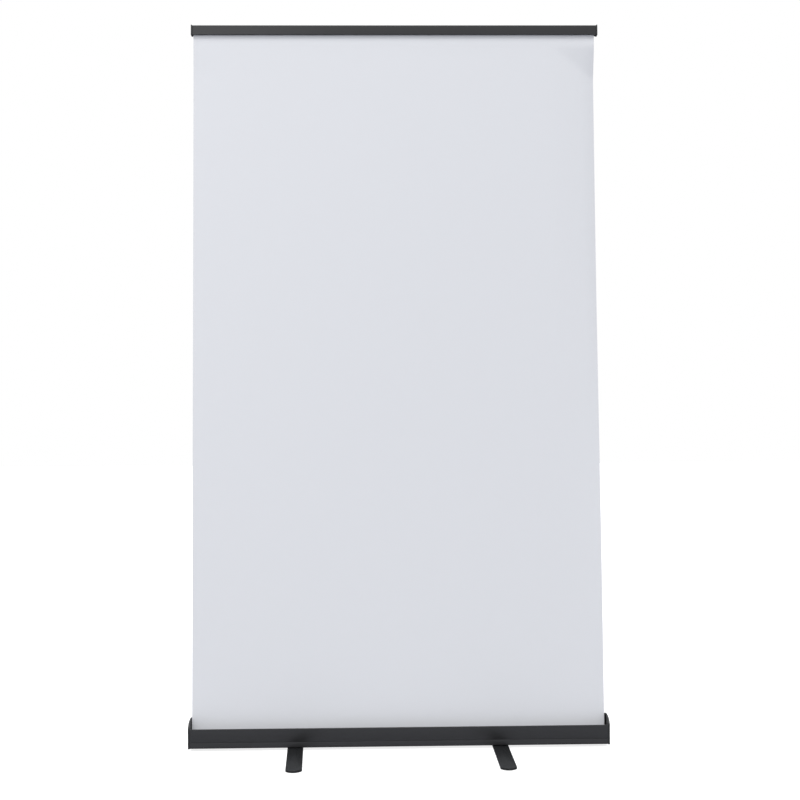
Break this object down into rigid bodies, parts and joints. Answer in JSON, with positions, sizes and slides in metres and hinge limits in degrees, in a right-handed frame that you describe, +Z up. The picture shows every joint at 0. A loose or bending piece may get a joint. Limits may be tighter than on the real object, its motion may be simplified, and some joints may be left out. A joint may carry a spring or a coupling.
{
  "type": "roll-up banner stand",
  "caption": "Spring-roller cassette on swivel feet with a telescopic pole holding a clamp rail and a blank white banner.",
  "frame": {"origin": "on the floor, in the middle of the stand's width and depth", "axes": "+Z up, +X along the cassette to the right seen from the front, -Y towards the front that the banner faces"},
  "size_m": [1.2152, 0.436, 2.1305],
  "materials": {
    "black_anodised": "black anodised, matt extrusion",
    "black_plastic": "black moulded ABS, fine texture",
    "black_steel": "black powder-coated steel bar",
    "zinc_steel": "zinc plated",
    "spring_steel": "oiled spring wire",
    "mill_aluminium": "satin drawn tube",
    "natural_nylon": "natural nylon",
    "black_rubber": "matt rubber",
    "banner_film": "matt white banner film, no print"
  },
  "bodies": {
    "base": {"base_profile": "black_anodised", "left_end_cap": "black_plastic", "right_end_cap": "black_plastic", "left_cap_screw_front": "zinc_steel", "left_cap_screw_rear": "zinc_steel", "right_cap_screw_front": "zinc_steel", "right_cap_screw_rear": "zinc_steel", "spring_arbor": "zinc_steel", "idler_pin": "zinc_steel", "spring_anchor_sleeve": "natural_nylon", "torsion_spring": "spring_steel", "left_pivot_screw": "zinc_steel", "left_pivot_washer": "natural_nylon", "left_nut_plate": "zinc_steel", "right_pivot_screw": "zinc_steel", "right_pivot_washer": "natural_nylon", "right_nut_plate": "zinc_steel", "pole_socket": "black_plastic", "pole_socket_screw_left": "zinc_steel", "pole_socket_screw_right": "zinc_steel", "pole_lower_tube": "mill_aluminium", "pole_foot_plug": "black_plastic", "lock_collet": "natural_nylon", "banner_sheet": "banner_film"},
    "roller": {"roller_tube": "mill_aluminium", "roller_spring_plug": "natural_nylon", "roller_idler_plug": "natural_nylon", "banner_wrap": "banner_film"},
    "left_foot": {"left_foot": "black_steel", "left_front_pad": "black_rubber", "left_rear_pad": "black_rubber"},
    "right_foot": {"right_foot": "black_steel", "right_front_pad": "black_rubber", "right_rear_pad": "black_rubber"},
    "lock_collar": {"lock_collar": "black_plastic"},
    "upper_pole": {"pole_upper_tube": "mill_aluminium", "pole_guide_plug": "natural_nylon", "pole_top_hook": "black_plastic", "pole_hook_screw": "zinc_steel"},
    "rail": {"rail_back_profile": "black_anodised", "rail_left_cap": "black_plastic", "rail_right_cap": "black_plastic"},
    "jaw": {"rail_front_jaw": "black_anodised", "jaw_grip_strip": "black_rubber"}
  },
  "joints": [
    {"name": "pole_extension", "type": "slide", "parent": "base", "child": "upper_pole", "axis": [0, 0, 1], "range_m": [-0.93, 0], "deforming": ["banner_sheet"]},
    {"name": "rail_lift", "type": "slide", "parent": "upper_pole", "child": "rail", "axis": [0, 0, 1], "range_m": [0, 0.015]},
    {"name": "jaw_open", "type": "hinge", "parent": "rail", "child": "jaw", "pos_m": [0, -0.005, 2.1262], "axis": [-1, 0, 0], "range_deg": [0, 30]},
    {"name": "roller_spin", "type": "hinge", "parent": "base", "child": "roller", "pos_m": [0, -0.01335, 0.034], "axis": [1, 0, 0], "range_deg": [-3680, 0]},
    {"name": "pole_lock_twist", "type": "hinge", "parent": "base", "child": "lock_collar", "pos_m": [0, 0.024, 1.09], "axis": [0, 0, 1], "range_deg": [0, 100]},
    {"name": "left_foot_swing", "type": "hinge", "parent": "base", "child": "left_foot", "pos_m": [-0.3015, 0, 0.0045], "axis": [0, 0, 1], "range_deg": [-93.9, 86.1]},
    {"name": "right_foot_swing", "type": "hinge", "parent": "base", "child": "right_foot", "pos_m": [0.291, 0, 0.0045], "axis": [0, 0, 1], "range_deg": [-90.2, 89.8]}
  ],
  "couplings": [
    {"joint": "roller_spin", "follows": "pole_extension", "rad_per_m": 69}
  ]
}
